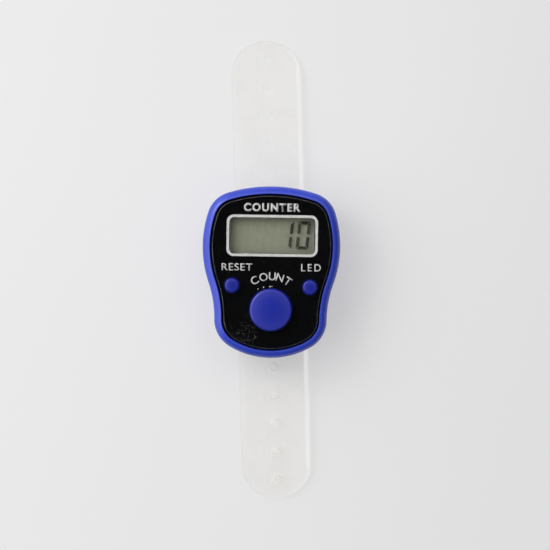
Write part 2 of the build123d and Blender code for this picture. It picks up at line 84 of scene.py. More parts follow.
C1 = (0.0, Y_TOP - R_TOP)
C3 = (HALF_W - R_SIDE, Y_SIDE)
C2 = circle_cross(C1, R_TOP - R_SHOULDER, C3, R_SIDE - R_SHOULDER, lambda q: q[0] + q[1])
_dx = X_WAIST + R_WAIST - C3[0]
C4 = (X_WAIST + R_WAIST, Y_SIDE - math.sqrt((R_SIDE + R_WAIST) ** 2 - _dx * _dx))
C6 = (0.0, Y_BOT + R_BOTTOM)
C5 = circle_cross(C4, R_WAIST + R_HEEL, C6, R_BOTTOM - R_HEEL, lambda q: q[0] - q[1])


def make_outline(step):
    """Points and outward normals round the case."""
    a45 = angle(C4, C5)
    a45 = a45 + 2 * math.pi if a45 < 0 else a45
    arcs = [
        (C1, R_TOP, math.pi / 2, angle(C1, C2), 1),
        (C2, R_SHOULDER, angle(C1, C2), angle(C3, C2), 1),
        (C3, R_SIDE, angle(C3, C2), angle(C3, C4), 1),
        (C4, R_WAIST, angle(C4, C3), a45, -1),
        (C5, R_HEEL, angle(C5, C4), angle(C6, C5), 1),
        (C6, R_BOTTOM, angle(C6, C5), -math.pi / 2, 1),
    ]
    pts, nor = [], []
    for c, r, a0, a1, sign in arcs:
        n = max(2, int(math.ceil(abs(a1 - a0) * r / step)))
        for i in range(n):
            a = a0 + (a1 - a0) * i / n
            pts.append((c[0] + r * math.cos(a), c[1] + r * math.sin(a)))
            nor.append((sign * math.cos(a), sign * math.sin(a)))
    pts.append((0.0, Y_BOT))
    nor.append((0.0, -1.0))
    left = [(-x, y) for x, y in pts[1:-1]][::-1]
    left_n = [(-x, y) for x, y in nor[1:-1]][::-1]
    return np.array(pts + left), np.array(nor + left_n)


OUT_P, OUT_N = make_outline(0.35)


def ring(inset):
    return OUT_P - inset * OUT_N


# ------------------------------------------------------------------ mesh helpers
def new_object(name, verts, faces, mats=(), face_mat=None, smooth=True, recalc=True, weld=True):
    """verts in millimetres."""
    bm = bmesh.new()
    vs = [bm.verts.new(Vector(v) * MM) for v in verts]
    for k, f in enumerate(faces):
        try:
            face = bm.faces.new([vs[i] for i in f])
        except ValueError:
            continue
        if face_mat is not None:
            face.material_index = face_mat[k]
        face.smooth = smooth
    if weld:
        bmesh.ops.remove_doubles(bm, verts=bm.verts, dist=2e-7)
    if recalc:
        bmesh.ops.recalc_face_normals(bm, faces=bm.faces)
    me = bpy.data.meshes.new(name)
    bm.to_mesh(me)
    bm.free()
    ob = bpy.data.objects.new(name, me)
    bpy.context.scene.collection.objects.link(ob)
    for m in mats:
        me.materials.append(m)
    return ob


def sharpen(ob, degrees):
    """Marks edges sharper than the angle, so that smooth shading stops at them."""
    bm = bmesh.new()
    bm.from_mesh(ob.data)
    lim = math.radians(degrees)
    for e in bm.edges:
        if len(e.link_faces) == 2:
            e.smooth = e.calc_face_angle(0) < lim
    bm.to_mesh(ob.data)
    bm.free()
    ob.data.update()
    return ob


def sweep(profile, closed=False):
    """Verts and quads of a path of (inset, z) run round the outline."""
    m = len(OUT_P)
    verts, faces = [], []
    for d, z in profile:
        verts += [(x, y, z) for x, y in ring(d)]
    k = len(profile)
    for i in range(k if closed else k - 1):
        j = (i + 1) % k
        for a in range(m):
            b = (a + 1) % m
            faces.append((i * m + a, i * m + b, j * m + b, j * m + a))
    return verts, faces


def circle_pts(x, y, r, n=96):
    return [(x + r * math.cos(2 * math.pi * i / n), y + r * math.sin(2 * math.pi * i / n)) for i in range(n)]


def rrect_pts(x, y, w, h, r, n=10):
    pts = []
    for cx, cy, a0 in ((w / 2 - r, h / 2 - r, 0), (-w / 2 + r, h / 2 - r, 90), (-w / 2 + r, -h / 2 + r, 180), (w / 2 - r, -h / 2 + r, 270)):
        for i in range(n + 1):
            a = math.radians(a0 + 90 * i / n)
            pts.append((x + cx + r * math.cos(a), y + cy + r * math.sin(a)))
    return pts


def inside(p, poly):
    poly = np.asarray(poly)
    x0, y0 = poly[:, 0], poly[:, 1]
    x1, y1 = np.roll(x0, -1), np.roll(y0, -1)
    cross = ((y0 > p[1]) != (y1 > p[1])) & (p[0] < (x1 - x0) * (p[1] - y0) / (y1 - y0 + 1e-30) + x0)
    return bool(cross.sum() % 2)


def fill(outer, holes=(), extra=()):
    """Triangles of a flat region.  Returns 2-D points and index triples."""
    pts, edges = [], []
    for loop in [outer, *holes]:
        k = len(pts)
        pts += [Vector((float(p[0]), float(p[1]))) for p in loop]
        edges += [(k + i, k + (i + 1) % len(loop)) for i in range(len(loop))]
    pts += [Vector((float(p[0]), float(p[1]))) for p in extra]
    v, _, f, *_ = delaunay_2d_cdt(pts, edges, [], 1, 1e-6)
    out = []
    for t in f:
        c = (sum(v[i].x for i in t) / len(t), sum(v[i].y for i in t) / len(t))
        if inside(c, outer) and not any(inside(c, h) for h in holes):
            out.append(tuple(t))
    return [(p.x, p.y) for p in v], out


class Build:
    """Collects the faces of one piece."""

    def __init__(self):
        self.v, self.f, self.m = [], [], []

    def add(self, verts, faces, mat=0):
        k = len(self.v)
        self.v += [tuple(map(float, p)) for p in verts]
        self.f += [tuple(i + k for i in f) for f in faces]
        self.m += [mat] * len(faces)

    def plate(self, outer, holes, z, mat=0, extra=()):
        p, f = fill(outer, holes, extra)
        self.add([(x, y, z) for x, y in p], f, mat)

    def wall(self, loop, z0, z1, mat=0, steps=1):
        n = len(loop)
        verts = []
        for s in range(steps + 1):
            z = z0 + (z1 - z0) * s / steps
            verts += [(x, y, z) for x, y in loop]
        faces = [
            (s * n + i, s * n + (i + 1) % n, (s + 1) * n + (i + 1) % n, (s + 1) * n + i) for s in range(steps) for i in range(n)
        ]
        self.add(verts, faces, mat)

    def lathe(self, profile, x=0.0, y=0.0, n=96, mat=0):
        """profile: (radius, z) points; radius 0 closes at the axis."""
        rows = []
        for r, z in profile:
            if r < 1e-9:
                rows.append([len(self.v)])
                self.v.append((x, y, z))
            else:
                rows.append(list(range(len(self.v), len(self.v) + n)))
                self.v += [(x + r * math.cos(2 * math.pi * i / n), y + r * math.sin(2 * math.pi * i / n), z) for i in range(n)]
        for a, b in zip(rows, rows[1:]):
            for i in range(n):
                j = (i + 1) % n
                if len(a) == 1 and len(b) == 1:
                    continue
                if len(a) == 1:
                    self.f.append((a[0], b[i], b[j]))
                elif len(b) == 1:
                    self.f.append((a[i], a[j], b[0]))
                else:
                    self.f.append((a[i], a[j], b[j], b[i]))
                self.m.append(mat)

    def object(self, name, mats, sharp=32, **kw):
        ob = new_object(name, self.v, self.f, mats, self.m, **kw)
        return sharpen(ob, sharp)


def arc(cx, cy, r, a0, a1, n):
    return [(cx + r * math.cos(math.radians(a0 + (a1 - a0) * i / n)), cy + r * math.sin(math.radians(a0 + (a1 - a0) * i / n))) for i in range(n + 1)]


# ------------------------------------------------------------------ materials
def srgb(r, g, b, a=1.0):
    def lin(c):
        c /= 255.0
        return c / 12.92 if c <= 0.04045 else ((c + 0.055) / 1.055) ** 2.4

    return (lin(r), lin(g), lin(b), a)


class Mat:
    def __init__(self, name):
        self.m = bpy.data.materials.new(name)
        self.m.use_nodes = True
        self.t = self.m.node_tree
        self.t.nodes.clear()
        self.out = self.t.nodes.new("ShaderNodeOutputMaterial")

    def node(self, kind, **inputs):
        n = self.t.nodes.new(kind)
        for k, v in inputs.items():
            if k.startswith("_"):
                setattr(n, k[1:], v)
        for k, v in inputs.items():
            if not k.startswith("_"):
                self.put(n, k, v)
        return n

    def put(self, n, key, v):
        sock = n.inputs[int(key[1:])] if key[0] == "i" and key[1:].isdigit() else n.inputs[key.replace("_", " ")]
        if isinstance(v, bpy.types.NodeSocket):
            self.t.links.new(v, sock)
        elif isinstance(v, bpy.types.Node):
            self.t.links.new(v.outputs[0], sock)
        else:
            sock.default_value = v

    def coords(self, kind="Object"):
        return self.node("ShaderNodeTexCoord").outputs[kind]

    def noise(self, scale, detail=3.0, rough=0.55, vec=None, distortion=0.0):
        n = self.node("ShaderNodeTexNoise", Scale=scale, Detail=detail, Roughness=rough, Distortion=distortion)
        self.put(n, "Vector", vec if vec is not None else self.coords())
        return n.outputs[0]

    def ramp(self, fac, stops, color=True):
        n = self.node("ShaderNodeValToRGB", Fac=fac)
        els = n.color_ramp.elements
        while len(els) < len(stops):
            els.new(0.5)
        for e, (p, c) in zip(els, stops):
            e.position = p
            e.color = c if isinstance(c, (tuple, list)) else (c, c, c, 1)
        return n.outputs[0]

    def math(self, op, a, b=0.0, clamp=False):
        n = self.node("ShaderNodeMath", _operation=op, i0=a, i1=b)
        n.use_clamp = clamp
        return n.outputs[0]

    def remap(self, v, a0, a1, b0, b1):
        return self.node("ShaderNodeMapRange", Value=v, From_Min=a0, From_Max=a1, To_Min=b0, To_Max=b1).outputs[0]

    def mix(self, fac, a, b):
        n = self.t.nodes.new("ShaderNodeMix")
        n.data_type = "RGBA"
        self.put(n, "i0", fac)
        for idx, v in ((6, a), (7, b)):
            if isinstance(v, bpy.types.NodeSocket):
                self.t.links.new(v, n.inputs[idx])
            else:
                n.inputs[idx].default_value = v
        return n.outputs[2]

    def bump(self, height, strength, distance, normal=None):
        n = self.node("ShaderNodeBump", Strength=strength, Distance=distance, Height=height)
        if normal is not None:
            self.put(n, "Normal", normal)
        return n.outputs[0]

    def pbr(self, **kw):
        return self.node("ShaderNodeBsdfPrincipled", **kw)

    def fresnel(self, ior, normal=None):
        """Reflectance of a thin clear sheet, the same for rays that meet it from inside."""
        back = self.node("ShaderNodeNewGeometry").outputs["Backfacing"]
        n = self.node("ShaderNodeFresnel", IOR=self.remap(back, 0.0, 1.0, ior, 1.0 / ior))
        if normal is not None:
            self.put(n, "Normal", normal)
        return n

    def surface(self, shader):
        self.t.links.new(shader if isinstance(shader, bpy.types.NodeSocket) else shader.outputs[0], self.out.inputs["Surface"])
        return self.m

    def mix_shader(self, fac, a, b):
        n = self.node("ShaderNodeMixShader", i0=fac)
        self.t.links.new(a.outputs[0] if isinstance(a, bpy.types.Node) else a, n.inputs[1])
        self.t.links.new(b.outputs[0] if isinstance(b, bpy.types.Node) else b, n.inputs[2])
        return n


def moulded(name, color, rough=0.22, vary=0.12, peel=0.12, spec=0.5, scuff=0.5, coat=0.0, smear=(0.75, 1.5)):
    """Glossy injection-moulded plastic: orange peel, faint colour drift, hairline scuffs, rubbed edges."""
    k = Mat(name)
    c = k.coords()
    drift = k.noise(90.0, 3.0, vec=c)
    lighter = tuple(min(1, v * (1 + vary) + 0.004) for v in color[:3]) + (1,)
    darker = tuple(v * (1 - vary) for v in color[:3]) + (1,)
    base = k.mix(k.remap(drift, 0.35, 0.65, 0, 1), darker, lighter)
    edge = k.node("ShaderNodeNewGeometry").outputs["Pointiness"]
    rub = k.ramp(edge, [(0.53, 0.0), (0.62, 1.0)])
    rub = k.math("MULTIPLY", rub, k.remap(k.noise(260.0, 4.0, vec=c), 0.42, 0.7, 0.0, 0.35), True)
    base = k.mix(rub, base, tuple(min(1, v * 1.6 + 0.03) for v in color[:3]) + (1,))
    stretched = k.node("ShaderNodeMapping", Vector=c, Scale=(1.0, 0.08, 1.0), Rotation=(0.2, 0.3, 0.7))
    hair = k.noise(3200.0, 2.0, 0.6, vec=stretched.outputs[0])
    hair = k.ramp(hair, [(0.58, 0.0), (0.68, 1.0)])
    smudge = k.noise(170.0, 4.0, 0.6, vec=c, distortion=0.6)
    r = k.math("ADD", k.remap(smudge, 0.3, 0.75, rough * smear[0], rough * smear[1]), k.math("MULTIPLY", hair, 0.12 * scuff))
    n1 = k.bump(k.noise(1300.0, 2.0, 0.5, vec=c), peel, 0.00004)
    n2 = k.bump(hair, 0.10 * scuff, 0.00002, n1)
    return k.surface(k.pbr(Base_Color=base, Roughness=r, Normal=n2, IOR=1.5, Specular_IOR_Level=spec, Coat_Weight=coat, Coat_Roughness=0.06))


def flat_mat(name, color, rough=0.5, metallic=0.0, scale=700.0, vary=0.1, bump=0.1, spec=0.5):
    k = Mat(name)
    c = k.coords()
    n = k.noise(scale, 4.0, vec=c)
    base = k.mix(k.remap(n, 0.3, 0.7, 0, 1), tuple(v * (1 - vary) for v in color[:3]) + (1,), tuple(min(1, v * (1 + vary)) for v in color[:3]) + (1,))
    return k.surface(
        k.pbr(
            Base_Color=base,
            Roughness=k.remap(n, 0.3, 0.7, rough * 0.85, min(1, rough * 1.15)),
            Metallic=metallic,
            Specular_IOR_Level=spec,
            Normal=k.bump(n, bump, 0.00003),
        )
    )


def brushed(name, color, rough=0.28, radial=None):
    """Nickel or steel: fine lines along one way, or unstretched grain when radial is given."""
    k = Mat(name)
    c = k.coords()
    if radial is None:
        v = k.node("ShaderNodeMapping", Vector=c, Scale=(0.04, 1.0, 1.0)).outputs[0]
    else:
        v = c
    lines = k.noise(5200.0, 2.0, 0.6, vec=v)
    stain = k.noise(220.0, 4.0, vec=c)
    base = k.mix(k.remap(stain, 0.35, 0.7, 0, 0.5), color, tuple(x * 0.7 for x in color[:3]) + (1,))
    return k.surface(k.pbr(Base_Color=base, Metallic=1.0, Roughness=k.remap(lines, 0.3, 0.7, rough * 0.7, rough * 1.4), Normal=k.bump(lines, 0.15, 0.00002)))


def clear_film(name, tint=(0.97, 0.97, 0.97, 1), rough=0.05, gloss=1.0, dust=0.0, ior=1.49, haze=0.0, haze_color=(0.8, 0.8, 0.8, 1)):
    """Clear sheet or cover, seen straight through, with a surface reflection."""
    k = Mat(name)
    c = k.coords()
    through = k.node("ShaderNodeBsdfTransparent", Color=tint)
    smear = k.noise(140.0, 4.0, 0.6, vec=c, distortion=0.8)
    r = k.remap(smear, 0.3, 0.75, rough * 0.7, rough * 1.6)
    shine = k.node("ShaderNodeBsdfGlossy", Color=(1, 1, 1, 1), Roughness=r)
    fres = k.fresnel(ior)
    fac = k.math("MULTIPLY", fres.outputs[0], gloss, True)
    body = k.mix_shader(fac, through, shine)
    if haze:
        fog = k.node("ShaderNodeBsdfDiffuse", Color=haze_color)
        body = k.mix_shader(haze, body, fog)
    if dust:
        v = k.node("ShaderNodeTexVoronoi", Vector=c, Scale=3300.0, Randomness=1.0)
        speck = k.math("LESS_THAN", v.outputs["Distance"], 0.16)
        sep = k.node("ShaderNodeSeparateXYZ", Vector=c)
        # thickest towards the lower left corner of the face
        dx = k.math("ADD", sep.outputs[0], 0.0058)
        dy = k.math("ADD", sep.outputs[1], 0.0142)
        d2 = k.math("ADD", k.math("MULTIPLY", dx, dx), k.math("MULTIPLY", dy, dy))
        near = k.math("ADD", k.math("EXPONENT", k.math("MULTIPLY", d2, -90000.0)), 0.10)
        pick = k.math("GREATER_THAN", k.noise(1500.0, 1.0, vec=c), k.math("SUBTRACT", 0.61, k.math("MULTIPLY", near, 0.14)))
        some = k.math("LESS_THAN", k.noise(900.0, 1.0, vec=k.node("ShaderNodeMapping", Vector=c, Location=(3, 1, 2)).outputs[0]), k.math("ADD", k.math("MULTIPLY", near, 0.60), 0.20))
        f = k.math("MULTIPLY", k.math("MULTIPLY", speck, pick), some)
        f = k.math("MULTIPLY", f, dust)
        grain = k.node("ShaderNodeBsdfDiffuse", Color=(0.46, 0.45, 0.43, 1))
        body = k.mix_shader(f, body, grain)
    return k.surface(body)


# painted light: the case's blue is lighter than the button plastic's blue, standing in for the extra light its rounded
# rim catches
BLUE = (0.020, 0.046, 0.455, 1)
m_blue = moulded("blue_gloss_abs", BLUE, rough=0.22, vary=0.06, peel=0.10, scuff=0.25, smear=(0.85, 1.25))
m_button = moulded("blue_button_abs", (0.010, 0.020, 0.30, 1), rough=0.24, vary=0.03, peel=0.08, scuff=0.08, smear=(0.94, 1.10))
# painted shade: the same blue plastic as the large button, made darker because the small buttons sit in shade
m_button_small_shaded = moulded("blue_small_button_abs_shaded", (0.006, 0.013, 0.25, 1), rough=0.24, vary=0.03, peel=0.08, spec=0.36, scuff=0.08, smear=(0.94, 1.10))
m_lens = clear_film("clear_acrylic_lens", tint=(0.985, 0.985, 0.985, 1), rough=0.035, gloss=0.6, dust=0.55)
m_black = flat_mat("black_back_print", (0.0026, 0.0028, 0.0032, 1), rough=0.8, vary=0.25, bump=0.05, spec=0.0)


def lens_edge_material():
    """Satin bevel of the clear cover: catches the light as a thin pale line."""
    k = Mat("satin_lens_bevel")
    c = k.coords()
    n = k.noise(420.0, 3.0, vec=c)
    fog = k.node("ShaderNodeBsdfDiffuse", Color=(0.85, 0.86, 0.88, 1))
    clear = k.node("ShaderNodeBsdfTransparent", Color=(0.9, 0.9, 0.9, 1))
    shine = k.node("ShaderNodeBsdfGlossy", Color=(1, 1, 1, 1), Roughness=0.25)
    body = k.mix_shader(k.remap(n, 0.3, 0.7, 0.01, 0.07), clear, fog)
    return k.surface(k.mix_shader(k.math("MULTIPLY", k.fresnel(1.49).outputs[0], 1.0, True), body, shine))


m_lens_edge = lens_edge_material()
m_ink = None


def ink_material():
    k = Mat("silver_white_ink")
    c = k.coords()
    n = k.noise(1800.0, 3.0, vec=c)
    base = k.mix(k.remap(n, 0.3, 0.7, 0, 1), srgb(196, 197, 194), srgb(220, 220, 216))
    return k.surface(k.pbr(Base_Color=base, Roughness=0.55, Specular_IOR_Level=0.3, Normal=k.bump(n, 0.2, 0.00002)))


m_ink = ink_material()
# black adhesive sheet; its black also serves as painted shade for the gap round the cover
m_tape_gap_shade = flat_mat("black_tape_gap_shade", (0.0022, 0.0022, 0.0026, 1), rough=0.9, vary=0.2, spec=0.0)
m_glass = clear_film("display_glass", tint=(0.992, 0.995, 0.992, 1), rough=0.02, gloss=0.35)
m_polar = clear_film("front_polariser", tint=(0.857, 0.851, 0.836, 1), rough=0.12, gloss=0.6)


def reflector_material():
    k = Mat("grey_green_reflector")
    c = k.coords()
    grain = k.noise(6500.0, 2.0, 0.6, vec=c)
    wide = k.noise(60.0, 2.0, vec=c)
    a = k.mix(k.remap(grain, 0.3, 0.7, 0, 1), srgb(204, 208, 188), srgb(216, 219, 198))
    a = k.mix(k.remap(wide, 0.35, 0.7, 0, 0.35), a, srgb(192, 200, 182))
    return k.surface(k.pbr(Base_Color=a, Roughness=0.55, Specular_IOR_Level=0.3, Normal=k.bump(grain, 0.15, 0.00001)))


m_reflect = reflector_material()


def segment_material(name, color, alpha):
    k = Mat(name)
    body = k.node("ShaderNodeBsdfDiffuse", Color=color)
    return k.surface(k.mix_shader(alpha, k.node("ShaderNodeBsdfTransparent"), body))


m_seg = segment_material("dark_display_segment", srgb(46, 49, 44), 0.50)
m_ghost = segment_material("unlit_display_segment", srgb(90, 96, 86), 0.015)

m_board = Mat("green_board_mask")
_c = m_board.coords()
_fr4 = m_board.node("ShaderNodeTexBrick", Vector=_c, Scale=1600.0, Color1=srgb(18, 92, 52), Color2=srgb(24, 104, 60), Mortar=srgb(12, 70, 40))
_tr = m_board.noise(420.0, 1.0, vec=_c)
_trace = m_board.ramp(_tr, [(0.495, 0.0), (0.505, 1.0)])
_mixb = m_board.mix(m_board.math("MULTIPLY", _trace, 0.35), _fr4.outputs[0], srgb(40, 132, 78))
m_board = m_board.surface(m_board.pbr(Base_Color=_mixb, Roughness=0.32, Normal=m_board.bump(_trace, 0.3, 0.00003)))
m_resin = moulded("black_resin", (0.006, 0.006, 0.007, 1), rough=0.16, vary=0.2, peel=0.5)
m_diff = flat_mat("white_light_guide", (0.85, 0.86, 0.84, 1), rough=0.35, vary=0.03)
m_lamp = flat_mat("lamp_body", (0.85, 0.78, 0.45, 1), rough=0.25, vary=0.05)
m_chip = flat_mat("chip_ceramic", (0.03, 0.03, 0.035, 1), rough=0.4)
m_cap = flat_mat("capacitor_ceramic", (0.42, 0.28, 0.15, 1), rough=0.45)


def zebra_material():
    k = Mat("layered_elastomer")
    c = k.coords()
    w = k.node("ShaderNodeTexWave", Vector=c, Scale=900.0, _bands_direction="X")
    base = k.mix(k.ramp(w.outputs[0], [(0.45, 0.0), (0.55, 1.0)]), (0.55, 0.5, 0.48, 1), (0.02, 0.02, 0.02, 1))
    return k.surface(k.pbr(Base_Color=base, Roughness=0.6))


m_zebra = zebra_material()
m_nickel = brushed("nickel_spring_strip", (0.72, 0.69, 0.62, 1))
m_cell = brushed("cell_can_steel", (0.66, 0.66, 0.65, 1), rough=0.24)
m_dome = brushed("dome_stainless", (0.62, 0.62, 0.62, 1), rough=0.2)
m_zinc = brushed("zinc_screw_steel", (0.55, 0.56, 0.58, 1), rough=0.34)
m_domefilm = clear_film("dome_cover_film", tint=(0.95, 0.93, 0.86, 1), rough=0.2, haze=0.12)

TURN, STRAP_X = math.radians(2.3), 0.05

# strap: clear flexible plastic.  Slot 0 faces, slot 1 rounded edges, slot 2 unseen joins between pieces
STRAP_TINT = (0.990, 0.987, 0.978, 1)


def strap_material(name, edge, gloss=1.0):
    k = Mat(name)
    c = k.coords()
    geo = k.node("ShaderNodeNewGeometry")
    smear = k.noise(110.0, 4.0, 0.6, vec=c, distortion=1.0)
    fine = k.noise(900.0, 3.0, vec=c)
    tint = k.mix(k.remap(smear, 0.35, 0.7, 0, 1), STRAP_TINT, (0.997, 0.995, 0.988, 1))
    nrm = k.bump(smear, 0.3 if gloss == 1.0 else 0.0, 0.0004, k.bump(fine, 0.1, 0.00004))
    shine = k.node("ShaderNodeBsdfGlossy", Color=(1, 1, 1, 1), Roughness=k.remap(fine, 0.3, 0.7, 0.10, 0.22), Normal=nrm)
    fog = k.node("ShaderNodeBsdfDiffuse", Color=(0.95, 0.947, 0.93, 1))
    clear = k.node("ShaderNodeBsdfTransparent", Color=tint)
    milky = k.mix_shader(k.remap(smear, 0.3, 0.75, 0.05, 0.11), clear, fog)
    fres = k.fresnel(1.48, nrm)
    body = k.mix_shader(k.math("MULTIPLY", fres.outputs[0], gloss * (0.08 if edge else 0.35), True), milky, shine)
    # painted highlight: an emission along the right-hand edge stands in for light carried inside the strip and leaving
    # there; painted shade makes the left-hand edge a little darker
    glow = k.node("ShaderNodeEmission", Color=(1.0, 1.0, 0.992, 1), Strength=0.93)
    painted_edge_shade = k.node("ShaderNodeBsdfTransparent", Color=(0.80, 0.80, 0.80, 1))
    if edge:
        # a face met from inside reports its normal turned round
        way = k.math("SUBTRACT", 1.0, k.math("MULTIPLY", geo.outputs["Backfacing"], 2.0))
        sep = k.node("ShaderNodeSeparateXYZ", Vector=geo.outputs["Normal"])
        nx, ny = k.math("MULTIPLY", sep.outputs[0], way), k.math("MULTIPLY", sep.outputs[1], way)
        # painted highlight on edge faces turned to the right, painted shade on edge faces turned left or towards +y
        right = k.remap(nx, 0.05, 0.7, 0.0, 0.27)
        left = k.math("ADD", k.remap(nx, -0.05, -0.7, 0.0, 0.20), k.remap(ny, 0.2, 0.8, 0.0, 0.22), True)
    else:
        # painted highlight in a band along the face's right-hand edge, painted shade in a band along its left-hand edge
        across = k.node("ShaderNodeVectorMath", _operation="DOT_PRODUCT", i0=c, i1=(math.cos(TURN), math.sin(TURN), 0.0)).outputs["Value"]
        streak = k.remap(k.noise(60.0, 3.0, vec=c), 0.35, 0.65, 0.5, 1.2)
        right = k.math("MULTIPLY", k.remap(across, 0.00655, 0.00715, 0.0, 0.36), streak, True)
        left = k.math("MULTIPLY", k.remap(across, -0.00675, -0.00725, 0.0, 0.10), streak, True)
    body = k.mix_shader(right, body, glow)
    body = k.mix_shader(left, body, painted_edge_shade)
    return k.surface(body)


m_strap = strap_material("clear_strap_face", False)
m_strap_edge = strap_material("clear_strap_edge", True)
m_stud = strap_material("clear_strap_detail", False, 0.35)
_k = Mat("strap_unseen_join")
m_join = _k.surface(_k.node("ShaderNodeBsdfTransparent", Color=(1, 1, 1, 1)))

# ------------------------------------------------------------------ front shell
openings = [
    rrect_pts(0, WIN_Y, OPEN_W, OPEN_H, 0.8),
    circle_pts(*COUNT_XY, COUNT_R + 0.15),
    circle_pts(*RESET_XY, SMALL_R + 0.12),
    circle_pts(*LED_XY, SMALL_R + 0.12),
]
b = Build()
# the rim still leans outwards a little where its small inner rounding begins
prof = [(2.6, Z_WALL1), (1.62, Z_WALL1), (1.62, 11.3), (1.62, 11.9), (1.62, 12.35)]
prof += arc(1.52, 12.463, 0.10, 0, 105, 7)
prof += arc(2.0157, 10.613, 2.0157, 105, 180, 20)[1:]
prof += [(0.0, 10.2), (0.0, 9.4), (0.0, 8.3), (0.0, Z_PART + 0.12), (0.05, Z_PART + 0.03), (0.14, Z_PART)]
prof += [(1.6, Z_PART), (1.6, Z_WALL0), (2.6, Z_WALL0)]
b.add(*sweep(prof))
b.plate(ring(2.6), openings, Z_WALL1)
b.plate(ring(2.6), openings, Z_WALL0)
for loop in openings:
    b.wall(loop, Z_WALL0, Z_WALL1)
for x, y in CASE_SCREWS:
    b.lathe([(0, Z_WALL0 + 0.3), (1.8, Z_WALL0 + 0.3), (1.8, Z_PART), (0.86, Z_PART), (0.86, 9.8), (0, 9.8)], x, y, 48)
for x, y in PCB_SCREWS:
    b.lathe([(0, Z_WALL0 + 0.3), (1.5, Z_WALL0 + 0.3), (1.5, 8.6), (0.66, 8.6), (0.66, 9.9), (0, 9.9)], x, y, 40)
shell = b.object("case_front", [m_blue], sharp=40)
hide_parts("front_shell")
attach(shell, "case")

# ------------------------------------------------------------------ lens, print, legends
Z_LENS0, Z_LENS1 = 11.35, 12.3
b = Build()
lens_holes = [circle_pts(*COUNT_XY, COUNT_R + 0.2), circle_pts(*RESET_XY, SMALL_R + 0.2, 64), circle_pts(*LED_XY, SMALL_R + 0.2, 64)]
prof = [(2.6, Z_LENS0), (2.02, Z_LENS0), (2.02, 12.08), (2.06, 12.15), (2.13, 12.23), (2.21, 12.28), (2.25, Z_LENS1), (2.6, Z_LENS1)]
b.add(*sweep(prof[:3]))
b.add(*sweep(prof[2:-1]), 1)
b.add(*sweep(prof[-2:]))
b.plate(ring(2.6), lens_holes, Z_LENS1)
b.plate(ring(2.6), lens_holes, Z_LENS0)
for h in lens_holes:
    b.wall(h, Z_LENS0, Z_LENS1)
lens = b.object("face_cover", [m_lens, m_lens_edge], sharp=25)
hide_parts("face_lens")
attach(lens, "case")

# a real adhesive sheet, made black and run out to the rim's wall: painted shade standing in for the shade in the gap
# between rim and cover
b = Build()
gaps = [rrect_pts(0, WIN_Y, OPEN_W + 0.5, OPEN_H + 0.5, 1.0)] + [circle_pts(x, y, r + 0.5) for (x, y), r in ((COUNT_XY, COUNT_R), (RESET_XY, SMALL_R), (LED_XY, SMALL_R))]
for z in (11.21, 11.28):
    b.plate(ring(1.66), gaps, z)
for loop in [ring(1.66), *gaps]:
    b.wall(loop, 11.21, 11.28)
gap_shade_sheet = b.object("adhesive_sheet_gap_shade", [m_tape_gap_shade], sharp=30)
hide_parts("lens_tape")
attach(gap_shade_sheet, "case")

ZI0, ZI1 = 11.335, 11.347


def printed(name, loops_list, mat=None, z0=ZI0, z1=ZI1, body="case"):
    b = Build()
    for outer, holes_ in loops_list:
        b.plate(outer, holes_, z1)
        b.plate(outer, holes_, z0)
        for loop in [outer, *holes_]:
            b.wall(loop, z0, z1)
    ob = b.object(name, [mat or m_ink], sharp=30)
    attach(ob, body)
    return ob


def wobble(loop, amount, seed):
    r = np.random.default_rng(seed)
    loop = np.array(loop)
    n = len(loop)
    w = r.normal(size=n)
    k = np.array([1, 2, 3, 2, 1]) / 9
    w = np.convolve(np.concatenate([w[-2:], w, w[:2]]), k, "valid")
    d = np.roll(loop, -1, 0) - np.roll(loop, 1, 0)
    nrm = np.stack([d[:, 1], -d[:, 0]], 1) / (np.linalg.norm(d, axis=1)[:, None] + 1e-9)
    return loop + nrm * (w * amount)[:, None]


def resample(loop, step):
    loop = np.array(loop + [loop[0]])
    seg = np.linalg.norm(np.diff(loop, axis=0), axis=1)
    s = np.concatenate([[0], np.cumsum(seg)])
    t = np.arange(0, s[-1], step)
    return [(float(np.interp(q, s, loop[:, 0])), float(np.interp(q, s, loop[:, 1]))) for q in t]


FRAME_W, FRAME_H, LINE = 19.85, 9.04, 0.57
fo = wobble(resample(rrect_pts(0.13, WIN_Y, FRAME_W, FRAME_H, 1.55, 14), 0.22), 0.012, 3)
fi = wobble(resample(rrect_pts(0.13, WIN_Y, FRAME_W - 2 * LINE, FRAME_H - 2 * LINE, 1.05, 14), 0.22), 0.03, 4)
printed("window_line", [(fo, [fi])])


